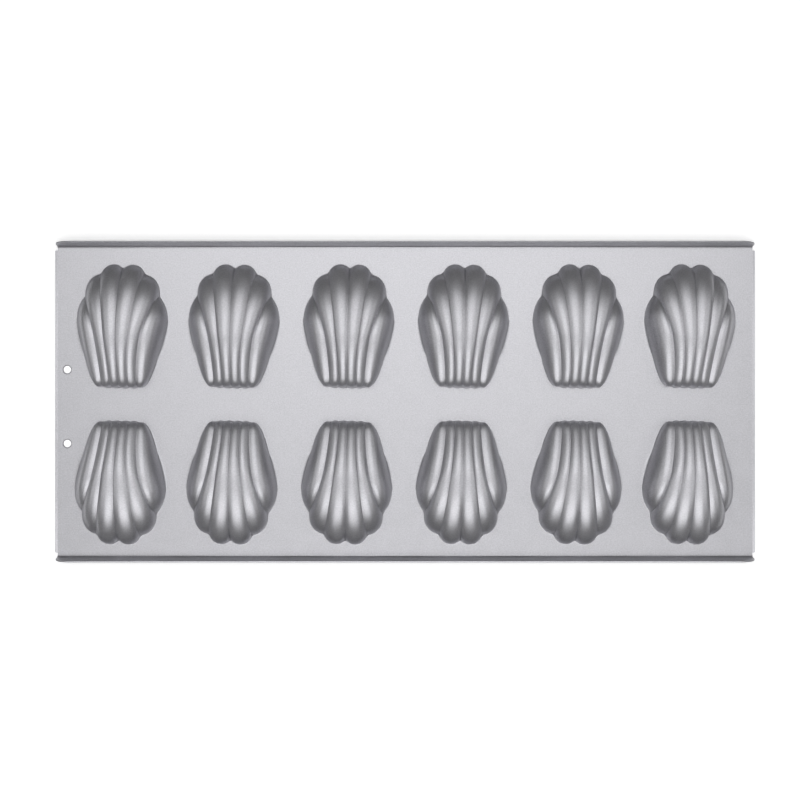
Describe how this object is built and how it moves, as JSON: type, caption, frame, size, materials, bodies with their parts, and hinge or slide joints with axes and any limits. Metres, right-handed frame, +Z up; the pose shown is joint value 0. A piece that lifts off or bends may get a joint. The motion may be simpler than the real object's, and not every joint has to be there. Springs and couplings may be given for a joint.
{
  "type": "madeleine pan",
  "caption": "Pressed baking sheet with two rows of fluted scallop shell cups, long stiffening flanges and a pair of hanging holes.",
  "frame": {"origin": "middle of the sheet's resting face, the face that the cups open through", "axes": "+X along the sheet away from the hanging holes, +Y across it towards the rear row, +Z up through the backs of the shells"},
  "size_m": [0.4, 0.1818, 0.0168],
  "materials": {
    "coated_steel": "satin grey non-stick coat with a fine metallic grain over pressed sheet steel"
  },
  "bodies": {
    "root": {"flat_plate": "coated_steel", "hanging_strip": "coated_steel", "rear_flange": "coated_steel", "front_flange": "coated_steel", "left_lip": "coated_steel", "right_lip": "coated_steel", "rear_cup_1": "coated_steel", "rear_cup_2": "coated_steel", "rear_cup_3": "coated_steel", "rear_cup_4": "coated_steel", "rear_cup_5": "coated_steel", "rear_cup_6": "coated_steel", "front_cup_1": "coated_steel", "front_cup_2": "coated_steel", "front_cup_3": "coated_steel", "front_cup_4": "coated_steel", "front_cup_5": "coated_steel", "front_cup_6": "coated_steel"}
  },
  "joints": []
}
